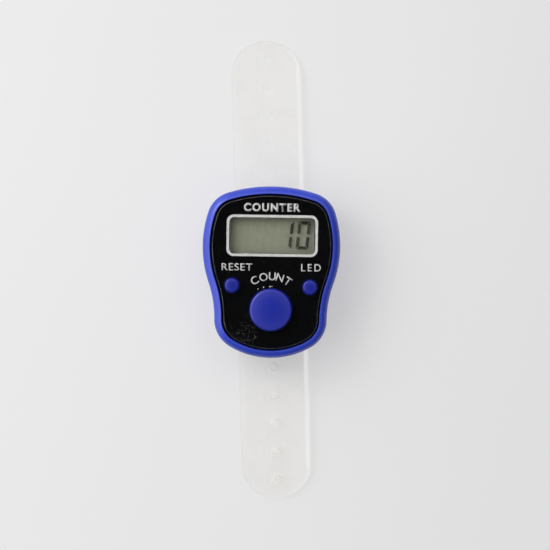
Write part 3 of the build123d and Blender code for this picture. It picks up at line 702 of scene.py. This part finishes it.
def text_piece(name, text, centre, height=None, width=None, turn=0.0, bold=0.0, spacing=1.0, z=ZI1, mat=None):
    """Plain sans lettering as a thin raised print."""
    cu = bpy.data.curves.new(name, "FONT")
    cu.body = text
    cu.align_x, cu.align_y = "LEFT", "BOTTOM"
    cu.size = 1.0
    cu.space_character = spacing
    cu.offset = bold
    cu.resolution_u = 6
    tmp = bpy.data.objects.new(name + "_tmp", cu)
    bpy.context.scene.collection.objects.link(tmp)
    bpy.context.view_layer.update()
    me = bpy.data.meshes.new_from_object(tmp.evaluated_get(bpy.context.evaluated_depsgraph_get()))
    bpy.data.objects.remove(tmp)
    bpy.data.curves.remove(cu)
    co = np.array([v.co for v in me.vertices])
    lo, hi = co.min(0), co.max(0)
    size = hi - lo
    sy = height / size[1]
    sx = width / size[0] if width else sy
    bm = bmesh.new()
    bm.from_mesh(me)
    bpy.data.meshes.remove(me)
    bmesh.ops.remove_doubles(bm, verts=bm.verts, dist=1e-5)
    for v in bm.verts:
        v.co.x = (v.co.x - (lo[0] + hi[0]) / 2) * sx
        v.co.y = (v.co.y - (lo[1] + hi[1]) / 2) * sy
        v.co.z = 0
    geom = bmesh.ops.extrude_face_region(bm, geom=list(bm.faces))
    for v in [g for g in geom["geom"] if isinstance(g, bmesh.types.BMVert)]:
        v.co.z = ZI1 - ZI0
    bmesh.ops.recalc_face_normals(bm, faces=bm.faces)
    m = Matrix.Translation(Vector((centre[0], centre[1], z - (ZI1 - ZI0)))) @ Matrix.Rotation(math.radians(turn), 4, "Z")
    bm.transform(m)
    bm.transform(Matrix.Scale(MM, 4))
    me = bpy.data.meshes.new(name)
    bm.to_mesh(me)
    bm.free()
    ob = bpy.data.objects.new(name, me)
    bpy.context.scene.collection.objects.link(ob)
    me.materials.append(mat or m_ink)
    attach(ob, "case")
    return ob


text_piece("legend_title", "COUNTER", (0.05, 14.08), height=1.85, width=12.3, bold=0.045, spacing=1.22)
text_piece("legend_reset", "RESET", (-7.43, 1.04), height=1.6, width=6.72, bold=0.010, spacing=1.08)
text_piece("legend_led", "LED", (8.67, 1.06), height=1.6, width=4.28, bold=0.010, spacing=1.35)
for ch, deg in zip("COUNT", (-30.2, -13.3, 2.2, 15.9, 31.2)):
    a = math.radians(deg)
    text_piece("legend_count_" + ch.lower(), ch, (COUNT_XY[0] + 7.1 * math.sin(a), COUNT_XY[1] + 0.13 + 7.1 * math.cos(a)), height=1.75, turn=-deg, bold=0.010)

# stray specks of ink above the large button
b = Build()
for i, (x, y, r) in enumerate(((-2.8, -3.72, 0.13), (-1.6, -3.3, 0.14), (-0.2, -3.12, 0.17), (0.22, -3.12, 0.09))):
    pts = [(x + r * (1 + 0.25 * rng.normal()) * math.cos(t), y + r * (1 + 0.25 * rng.normal()) * math.sin(t)) for t in np.linspace(0, 2 * math.pi, 14, endpoint=False)]
    b.plate(pts, [], ZI1)
    b.plate(pts, [], ZI0)
    b.wall(pts, ZI0, ZI1)
specks = b.object("ink_specks", [m_ink], sharp=30)
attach(specks, "case")

# ------------------------------------------------------------------ display digits
SLANT = math.tan(math.radians(5.5))
DIG_H, DIG_W, SEG_T, PITCH_X, DIG_Y, DIG_X0 = 6.1, 2.74, 0.66, 3.72, 8.05, 6.90
Z_SEG0, Z_SEG1 = 10.046, 10.054


def segments(cx):
    """Seven outlines of one digit, a to g."""
    w, h, t, g = DIG_W / 2, DIG_H / 2, SEG_T, 0.11
    hexa = lambda p: [(cx + x + (y) * SLANT, DIG_Y + y) for x, y in p]
    a = [(-w + g, h), (w - g, h), (w - t - g, h - t), (-w + t + g, h - t)]
    d = [(-w + g, -h), (w - g, -h), (w - t - g, -h + t), (-w + t + g, -h + t)]
    m = t / 2
    gseg = [(-w + g + m * 0.6, 0), (-w + t + g * 0.6, m), (w - t - g * 0.6, m), (w - g - m * 0.6, 0), (w - t - g * 0.6, -m), (-w + t + g * 0.6, -m)]
    bseg = [(w, h - g), (w, 0.42), (w - m * 0.8, 0.24), (w - t, m + g), (w - t, h - t - g)]
    cseg = [(x, -y) for x, y in bseg]
    fseg = [(-x, y) for x, y in bseg]
    eseg = [(-x, -y) for x, y in bseg]
    return {"a": hexa(a), "b": hexa(bseg), "c": hexa(cseg), "d": hexa(d), "e": hexa(eseg), "f": hexa(fseg), "g": hexa(gseg)}


LIT = {0: "abcdef", 1: "bc"}
for cell in range(5):
    segs = segments(DIG_X0 - cell * PITCH_X)
    on = {0: LIT[0], 1: LIT[1]}.get(cell, "")
    lit = [(segs[s], []) for s in on]
    off = [(segs[s], []) for s in "abcdefg" if s not in on]
    if lit:
        printed(f"display_digit_{cell}", lit, m_seg, Z_SEG0, Z_SEG1)
    printed(f"display_unlit_{cell}", off, m_ghost, Z_SEG0, Z_SEG1)

# ------------------------------------------------------------------ buttons
def button(name, xy, r, top, edge, flange_r, nub_r, nub_z, body, node, crown, n=128, mat=None):
    b = Build()
    p = [(0, top)]
    k = 10
    for i in range(1, k + 1):
        q = (r - edge) * i / k
        p.append((q, top - crown * (q / (r - edge)) ** 2))
    z0 = top - crown
    a0 = math.degrees(math.atan(2 * crown / (r - edge)))
    ex = edge
    p += [(r - ex + ex * math.sin(math.radians(t)), z0 - ex + ex * math.cos(math.radians(t))) for t in np.linspace(a0 + 6, 90, 10)]
    p += [(r, 11.6), (r, 10.6), (r, 9.95), (flange_r, 9.95), (flange_r, 9.35), (nub_r, 9.35), (nub_r, nub_z), (0, nub_z)]
    b.lathe(p, xy[0], xy[1], n)
    ob = b.object(name, [mat or m_button], sharp=50)
    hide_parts(node)
    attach(ob, body)
    return ob


button("count_cap", COUNT_XY, COUNT_R, 14.0, 0.55, 5.45, 1.5, 9.21, "count_key", "count_button", 0.30)
button("reset_cap", RESET_XY, SMALL_R, 13.35, 0.40, 2.45, 0.8, 9.01, "reset_key", "reset_button", 0.10, 72, m_button_small_shaded)
button("led_cap", LED_XY, SMALL_R, 13.35, 0.40, 2.45, 0.8, 9.01, "led_key", "led_button", 0.10, 72, m_button_small_shaded)

# ------------------------------------------------------------------ carried-over parts
finish_of = {
    "rear_cover": m_blue, "face_print": m_black, "case_screws": m_zinc, "pcb_screws": m_zinc, "circuit_board": m_board,
    "controller_chip": m_resin, "display_led": m_lamp, "led_resistor": m_chip, "supply_capacitor": m_cap, "light_guide": m_diff,
    "lcd_front_glass": m_glass, "lcd_rear_glass": m_glass, "lcd_front_polariser": m_polar, "lcd_rear_polariser": m_reflect,
    "zebra_strip": m_zebra, "cell_left": m_cell, "cell_right": m_cell, "cell_link": m_nickel, "cell_contact_negative": m_nickel,
    "cell_contact_positive": m_nickel,
}
for n, mat in finish_of.items():
    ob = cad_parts[n]
    ob.data.materials.clear()
    ob.data.materials.append(mat)
    for p in ob.data.polygons:
        p.material_index = 0

# ------------------------------------------------------------------ snap domes and their film
PCB_TOP = 8.6


def cap_profile(r, h, t):
    """Thin spherical cap over radius r, closed: outside from the crown down, inside back up."""
    big = (r * r + h * h) / (2 * h)
    zc = PCB_TOP + h - big
    inner = big - t
    ri = math.sqrt(inner * inner - (PCB_TOP - zc) ** 2)
    out_a, in_a = math.asin(r / big), math.asin(ri / inner)
    out = [(big * math.sin(out_a * i / 14), zc + big * math.cos(out_a * i / 14)) for i in range(15)]
    return out + [(inner * math.sin(in_a * i / 14), zc + inner * math.cos(in_a * i / 14)) for i in range(14, -1, -1)]


def slab(build, outer, holes_, z0, z1):
    """Closed flat sheet; a hole may run off its edge."""
    p, f = fill(outer, holes_)
    sides = {(t[i], t[(i + 1) % len(t)]) for t in f for i in range(len(t))}
    n = len(p)
    faces = [tuple(t) for t in f] + [tuple(i + n for i in t[::-1]) for t in f]
    faces += [(a, a + n, b_ + n, b_) for a, b_ in sorted(sides) if (b_, a) not in sides]
    build.add([(x, y, z1) for x, y in p] + [(x, y, z0) for x, y in p], faces)


DOMES = (("count", COUNT_XY, 4.0, 0.50, 0.08, 0.22), ("reset", RESET_XY, 2.2, 0.32, 0.07, 0.20), ("led", LED_XY, 2.2, 0.32, 0.07, 0.20))
for label, xy, r, h, t, keep in DOMES:
    b = Build()
    b.lathe(cap_profile(r, h, t), *xy, 72)
    snap = b.object(f"{label}_snap_dome", [m_dome], sharp=60)
    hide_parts(f"{label}_dome")
    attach(snap, "case")
    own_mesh(snap)
    b = Build()
    b.lathe(cap_profile(r + 0.22, h + 0.06, 0.05), *xy, 72)
    blister = b.object(f"{label}_film_blister", [m_domefilm], sharp=60)
    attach(blister, "case")
    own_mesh(blister)
inner_line = [(float(x), float(y)) for x, y in ring(3.4) if -13.2 < y < 0.3 and abs(x) < 10.2]
inner_line = sorted(inner_line + [(-9.9, 0.3), (9.9, 0.3)], key=lambda q: math.atan2(q[1] + 6.5, q[0]))
b = Build()
film_cuts = [circle_pts(*xy, r + 0.23, 72) for _, xy, r, _, _, _ in DOMES]
film_cuts += [circle_pts(x, y, 2.3, 48) for x, y in CASE_SCREWS[2:]] + [circle_pts(x, y, 1.75, 40) for x, y in PCB_SCREWS[1:]]
slab(b, inner_line, film_cuts, PCB_TOP, PCB_TOP + 0.05)
film_flat = b.object("dome_film_sheet", [m_domefilm], sharp=30)
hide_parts("dome_film")
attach(film_flat, "case")

# ------------------------------------------------------------------ strap
STRAP_W, STRAP_T, STRAP_HALF, STRAP_Z = 15.3, 1.2, 50.95, 2.2
DROOP = math.radians(2.3171)
UPPER = (11.375, 18.475, 25.275, 31.639)
LOWER = (12.185, 18.385, 24.585, 30.785)
HOLE_R, STEP_S, END_INSET = 0.92, 6.3, 4.5
EDGE_R = 0.38
HW = STRAP_W / 2


def centreline(side):
    """Height and reach of the strap's middle along its length: level through the bars, then hanging to the table."""
    b0 = UPPER[0] if side > 0 else LOWER[0]
    s = np.linspace(0, 60, 6001)
    t = np.clip((s - (b0 - 1.8)) / 3.6, 0, 1)
    phi = DROOP * (t * t * (3 - 2 * t))
    ds = s[1] - s[0]
    y = np.concatenate([[0], np.cumsum(np.cos(phi[:-1]) * ds)])
    z = STRAP_Z - np.concatenate([[0], np.cumsum(np.sin(phi[:-1]) * ds)])
    return s, y, z, phi


LINES = {1: centreline(1), -1: centreline(-1)}


def lay(side, x, s, h):
    """Flat strap position (across, along, height above its middle) to the row frame."""
    ss, yy, zz, pp = LINES[side]
    y = np.interp(s, ss, yy)
    z = np.interp(s, ss, zz)
    phi = np.interp(s, ss, pp)
    y = side * (y + h * np.sin(phi))
    z = z + h * np.cos(phi)
    c, q = math.cos(TURN), math.sin(TURN)
    return (x * c - y * q + STRAP_X, x * q + y * c, z)


def strap_piece(name, side, s0, s1, tip, hole_s=(), dense=0.45):
    """One length of strap between s0 and s1; tip True ends it with the round end."""
    rim = [(EDGE_R * (1 - math.cos(a)), (STRAP_T / 2 - EDGE_R) * 1 + EDGE_R * math.sin(a)) for a in np.linspace(math.pi / 2, 0, 6)]
    rim = [(EDGE_R - EDGE_R * math.cos(a), STRAP_T / 2 - EDGE_R + EDGE_R * math.sin(a)) for a in np.linspace(math.pi / 2, 0, 6)]
    prof = [(d, h) for d, h in rim] + [(d, -h) for d, h in rim[::-1]]
    # prof[0] = inset EDGE_R at the top face ... prof[-1] the same at the bottom face

    def side_line(d):
        pts = []
        w = HW - d
        end = s1 if not tip else STRAP_HALF - HW
        n = max(2, int(math.ceil((end - s0) / dense)))
        for i in range(n + 1):
            pts.append((w, s0 + (end - s0) * i / n))
        if tip:
            m = 40
            for i in range(1, m + 1):
                a = math.pi * i / m
                pts.append((w * math.cos(a), end + w * math.sin(a)))
        if tip:
            for i in range(n - 1, -1, -1):
                pts.append((-w, s0 + (end - s0) * i / n))
            return [pts]
        other = [(-w, s0 + (end - s0) * i / n) for i in range(n, -1, -1)]
        return [pts, other]

    b = Build()
    lines = [side_line(d) for d, _ in prof]
    parts = len(lines[0])
    for part in range(parts):
        rows = [l[part] for l in lines]
        m = len(rows[0])
        verts = []
        for (d, h), row in zip(prof, rows):
            verts += [lay(side, x, s, h) for x, s in row]
        faces = [(i * m + j, i * m + j + 1, (i + 1) * m + j + 1, (i + 1) * m + j) for i in range(len(prof) - 1) for j in range(m - 1)]
        b.add(verts, faces, 1)
    top = side_line(EDGE_R)
    outer = [p for part in top for p in part]
    # cut line points at s0 (and s1) so that neighbours share them
    cols = [(-1 + 2 * i / 10) * (HW - EDGE_R) for i in range(1, 10)]
    start = [(x, s0) for x in cols]
    outer = outer + start
    if not tip:
        k = len(top[0])
        outer = top[0] + [(x, s1) for x in cols[::-1]] + top[1] + start
    rings = []
    hr = 0.22
    for hs in hole_s:
        rings.append(circle_pts(0, hs, HOLE_R + hr, 40))
    extra = []
    end = s1 if not tip else STRAP_HALF
    n = int((end - s0) / dense)
    for i in range(1, n):
        s = s0 + (end - s0) * i / n
        for x in cols:
            if tip and s > STRAP_HALF - HW and math.hypot(x, s - (STRAP_HALF - HW)) > HW - EDGE_R - 0.25:
                continue
            if any(math.hypot(x, s - hs) < HOLE_R + hr + 0.15 for hs in hole_s):
                continue
            extra.append((x, s))
    p, f = fill(outer, rings, extra)
    for h in (STRAP_T / 2, -STRAP_T / 2):
        b.add([lay(side, x, s, h) for x, s in p], f, 0)
    for hs in hole_s:
        rimh = [(hr - hr * math.cos(a), STRAP_T / 2 - hr + hr * math.sin(a)) for a in np.linspace(math.pi / 2, 0, 4)]
        ph = [(d, h) for d, h in rimh] + [(d, -h) for d, h in rimh[::-1]]
        rows = [circle_pts(0, hs, HOLE_R + d, 40) for d, _ in ph]
        m = 40
        verts = []
        for (d, h), row in zip(ph, rows):
            verts += [lay(side, x, s, h) for x, s in row]
        faces = [(i * m + j, i * m + (j + 1) % m, (i + 1) * m + (j + 1) % m, (i + 1) * m + j) for i in range(len(ph) - 1) for j in range(m)]
        b.add(verts, faces, 3)
    # unseen joins
    for s in [s0] + ([] if tip else [s1]):
        right = [(HW - d, h) for d, h in prof]
        left = [(-(HW - d), h) for d, h in prof][::-1]
        loop = right + [(x, -STRAP_T / 2) for x in cols[::-1]] + left + [(x, STRAP_T / 2) for x in cols]
        pf, ff = fill(loop)
        b.add([lay(side, x, s, h) for x, h in pf], ff, 2)
    ob = new_object(name, b.v, b.f, [m_strap, m_strap_edge, m_join, m_stud], b.m)
    bm = bmesh.new()
    bm.from_mesh(ob.data)
    for e in bm.edges:
        mats_ = {fc.material_index for fc in e.link_faces}
        e.smooth = not (2 in mats_ and len(mats_) > 1)
    bm.to_mesh(ob.data)
    bm.free()
    return ob


def strap_run(side, label, bends, cuts, hole_at):
    for i in range(4):
        s0, s1 = cuts[i], cuts[i + 1]
        tip = i == 3
        hs = [h for h in hole_at if s0 < h < s1]
        ob = strap_piece(f"strap_{label}_part_{i + 1}", side, s0, s1, tip, hs)
        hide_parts(*( ["strap_middle", f"strap_{label}_1"] if i == 0 else [f"strap_{label}_{i + 1}"]))
        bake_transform(ob)


holes_at = [STRAP_HALF - END_INSET - i * STEP_S for i in range(5)]
strap_run(1, "upper", UPPER, (0.0, 14.925, 22.70, 29.0, STRAP_HALF), holes_at)
strap_run(-1, "lower", LOWER, (0.0, 15.285, 21.485, 27.685, STRAP_HALF), [])

# studs
STUD = [(0.0, -0.02), (1.1, -0.02), (1.06, 0.01), (0.86, 0.05), (0.75, 0.16), (0.72, 0.36), (0.72, 1.30), (0.74, 1.40), (0.88, 1.42), (0.98, 1.46), (1.02, 1.54), (1.0, 1.68), (0.88, 1.80), (0.68, 1.88), (0.4, 1.94), (0.0, 1.95)]
for i, s in enumerate(holes_at[::-1]):
    seg = max(k for k in range(4) if LOWER[k] < s) + 1
    b = Build()
    b.lathe(STUD, 0, 0, 40)
    pts = [lay(-1, x, s + y, STRAP_T / 2 + z) for x, y, z in b.v]
    b.v = pts
    ob = b.object(f"strap_stud_{i + 1}", [m_stud], sharp=60)
    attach(ob, f"strap_lower_{seg}")

# ------------------------------------------------------------------ studio
bpy.ops.mesh.primitive_plane_add(size=6.0, location=(0, 0, -0.00002))
floor = bpy.context.object
floor.name = "floor"
k = Mat("pale_table")
fc = k.coords()
fn = k.noise(3.0, 3.0, vec=fc)
fbase = k.mix(k.remap(fn, 0.3, 0.7, 0, 1), (0.84, 0.838, 0.84, 1), (0.86, 0.858, 0.86, 1))
fsep = k.node("ShaderNodeSeparateXYZ", Vector=fc)
# painted light: the table's colour falls off from upper left to lower right, with a faint brighter pool near the case;
# the glow below carries it too
drift = k.math("ADD", k.math("MULTIPLY", fsep.outputs[0], -0.82), k.math("MULTIPLY", fsep.outputs[1], 0.27))
painted_falloff = k.remap(drift, -0.06, 0.06, 0.895, 1.0)
hx, hy = k.math("ADD", fsep.outputs[0], -0.012), k.math("ADD", fsep.outputs[1], -0.022)
painted_light_pool = k.math("EXPONENT", k.math("MULTIPLY", k.math("ADD", k.math("MULTIPLY", hx, hx), k.math("MULTIPLY", hy, hy)), -620.0))
painted_falloff = k.math("ADD", painted_falloff, k.math("MULTIPLY", painted_light_pool, 0.022))
fbase = k.node("ShaderNodeVectorMath", _operation="SCALE", i0=fbase, Scale=painted_falloff).outputs["Vector"]
lit = k.pbr(Base_Color=k.mix(0.57, fbase, (0.0, 0.0, 0.0, 1)), Roughness=0.6, Specular_IOR_Level=0.0)
glow = k.node("ShaderNodeEmission", Color=fbase, Strength=0.53)  # a sheet lit from below as well
both = k.node("ShaderNodeAddShader")
k.t.links.new(lit.outputs[0], both.inputs[0])
k.t.links.new(glow.outputs[0], both.inputs[1])
floor.data.materials.append(k.surface(both))


def marker(body, point):
    """Unseen point that moves with a body, for the table's height to follow."""
    e = bpy.data.objects.new("table_marker", None)
    bpy.context.scene.collection.objects.link(e)
    e.location = point
    if body:
        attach(e, body)
    return e


# a worn strap hangs below the case, so the table sits under whatever part of the strap is lowest
marks = [marker(None, (0, 0, -0.00002))]
for side, label, joints_at in ((1, "upper", UPPER), (-1, "lower", LOWER)):
    ends = [*joints_at, STRAP_HALF]
    for i in range(4):
        for share in (0.0, 0.25, 0.5, 0.75, 1.0):
            s_at = ends[i] + (ends[i + 1] - ends[i]) * share
            for x_at in (-HW, HW):
                marks.append(marker(f"strap_{label}_{i + 1}", [v * MM for v in lay(side, x_at * (0.6 if s_at > 46 else 1.0), s_at, -STRAP_T / 2 - 0.02)]))
drop = floor.driver_add("location", 2).driver
drop.type = "MIN"
for i, e in enumerate(marks):
    v = drop.variables.new()
    v.name = f"mark{i}"
    v.type = "TRANSFORMS"
    v.targets[0].id = e
    v.targets[0].transform_type = "LOC_Z"
    v.targets[0].transform_space = "WORLD_SPACE"

world = bpy.data.worlds.new("studio")
bpy.context.scene.world = world
world.use_nodes = True
wt = world.node_tree
wt.nodes.clear()
wo = wt.nodes.new("ShaderNodeOutputWorld")
bg = wt.nodes.new("ShaderNodeBackground")
tc = wt.nodes.new("ShaderNodeTexCoord")
sep = wt.nodes.new("ShaderNodeSeparateXYZ")
ramp = wt.nodes.new("ShaderNodeValToRGB")
wt.links.new(tc.outputs["Generated"], sep.inputs[0])
wt.links.new(sep.outputs["Z"], ramp.inputs["Fac"])
els = ramp.color_ramp.elements
els[0].position, els[0].color = 0.0, (0.24, 0.241, 0.244, 1)
els[1].position, els[1].color = 0.987, (0.03, 0.03, 0.031, 1)
for pos, level in ((0.5, 0.30), (0.62, 0.72), (0.75, 0.98), (0.94, 1.02), (0.97, 0.36)):
    e = els.new(pos)
    e.color = (level, level * 1.002, level * 1.008, 1)


def wmath(op, a, b, clamp=False):
    n = wt.nodes.new("ShaderNodeMath")
    n.operation, n.use_clamp = op, clamp
    for i, v in enumerate((a, b)):
        if isinstance(v, bpy.types.NodeSocket):
            wt.links.new(v, n.inputs[i])
        else:
            n.inputs[i].default_value = v
    return n.outputs[0]


def wsmooth(v, a0, a1, b0, b1):
    n = wt.nodes.new("ShaderNodeMapRange")
    n.interpolation_type = "SMOOTHSTEP"
    for key, q in (("From Min", a0), ("From Max", a1), ("To Min", b0), ("To Max", b1)):
        n.inputs[key].default_value = q
    wt.links.new(v, n.inputs["Value"])
    return n.outputs[0]


wx, wy, wz = sep.outputs["X"], sep.outputs["Y"], sep.outputs["Z"]
reach = wmath("MAXIMUM", wmath("SQRT", wmath("ADD", wmath("MULTIPLY", wx, wx), wmath("MULTIPLY", wy, wy)), 0.0), 0.05)
# a wide window low on the left, the rest of the light from overhead and leaning left
facing = wmath("DIVIDE", wmath("ADD", wmath("MULTIPLY", wx, -0.95), wmath("MULTIPLY", wy, 0.31)), reach)
sway = wmath("ADD", wmath("MULTIPLY", wx, -0.53), wmath("MULTIPLY", wy, 0.85))
window = wmath("MULTIPLY", wsmooth(facing, 0.40, 0.85, 0.0, 1.35), wsmooth(wz, 0.72, 0.93, 1.0, 0.0))
lean = wsmooth(sway, -0.38, 0.38, 0.43, 1.52)
wt.links.new(lean, bg.inputs["Strength"])
pane = wt.nodes.new("ShaderNodeBackground")
pane.inputs["Color"].default_value = (1.0, 1.0, 1.0, 1)
wt.links.new(window, pane.inputs["Strength"])
both = wt.nodes.new("ShaderNodeAddShader")
wt.links.new(bg.outputs[0], both.inputs[0])
wt.links.new(pane.outputs[0], both.inputs[1])
wt.links.new(ramp.outputs["Color"], bg.inputs["Color"])
wt.links.new(both.outputs[0], wo.inputs["Surface"])


def area(name, loc, target, size, power, color=(1, 1, 1), size_y=None):
    l = bpy.data.lights.new(name, "AREA")
    l.shape = "RECTANGLE" if size_y else "SQUARE"
    l.size = size
    if size_y:
        l.size_y = size_y
    l.energy = power
    l.color = color
    o = bpy.data.objects.new(name, l)
    bpy.context.scene.collection.objects.link(o)
    o.location = loc
    o.rotation_euler = (Vector(target) - Vector(loc)).to_track_quat("-Z", "Y").to_euler()
    return o


area("key", (-0.62, 0.42, 0.66), (0, 0, 0), 0.42, 2.2)

# ------------------------------------------------------------------ camera
D = 0.45
TILT = math.radians(2.0)
ROLL = math.radians(0.8)
aim = Vector((0, 0, 12.6 * MM))
back = Vector((0, math.sin(TILT), math.cos(TILT)))
cam_data = bpy.data.cameras.new("camera")
cam = bpy.data.objects.new("camera", cam_data)
bpy.context.scene.collection.objects.link(cam)
bpy.context.scene.camera = cam
cam_data.sensor_width = 36.0
cam_data.lens = 4.61 * 1000 * D * 36.0 / 550.0
cam.location = aim + back * D
up = Vector((0, 1, 0))
z_axis = back.normalized()
x_axis = up.cross(z_axis).normalized()
y_axis = z_axis.cross(x_axis)
rot = Matrix((x_axis, y_axis, z_axis)).transposed()
# the case leans clockwise in the picture, so the camera leans the other way
cam.rotation_euler = (rot @ Matrix.Rotation(ROLL, 3, "Z")).to_euler()
cam_data.shift_x = (275.0 - 271.1) / 550.0
cam_data.shift_y = (272.33 - 275.0) / 550.0
cam_data.clip_start, cam_data.clip_end = 0.01, 20.0
# from overhead the face is in focus and the strap below it a little soft; nearer the table the lens is stopped right down
focus = bpy.data.objects.new("focus_point", None)
bpy.context.scene.collection.objects.link(focus)
focus.location = aim
cam_data.dof.use_dof = True
cam_data.dof.focus_object = focus
stop = cam_data.dof.driver_add("aperture_fstop")
for m in list(stop.modifiers):
    stop.modifiers.remove(m)
while stop.keyframe_points:
    stop.keyframe_points.remove(stop.keyframe_points[0])
for z_at, f_stop in ((0.0, 400.0), (0.36, 400.0), (0.44, 8.5), (0.60, 8.5)):
    kp = stop.keyframe_points.insert(z_at, f_stop)
    kp.interpolation = "LINEAR"
stop.driver.type = "AVERAGE"
v = stop.driver.variables.new()
v.name = "height"
v.type = "TRANSFORMS"
v.targets[0].id = cam
v.targets[0].transform_type = "LOC_Z"
v.targets[0].transform_space = "WORLD_SPACE"

sc = bpy.context.scene
sc.cycles.transparent_max_bounces = 48
sc.view_settings.view_transform = "Standard"
sc.view_settings.look = "None"
sc.view_settings.exposure = 0.0
sc.view_settings.gamma = 1.0
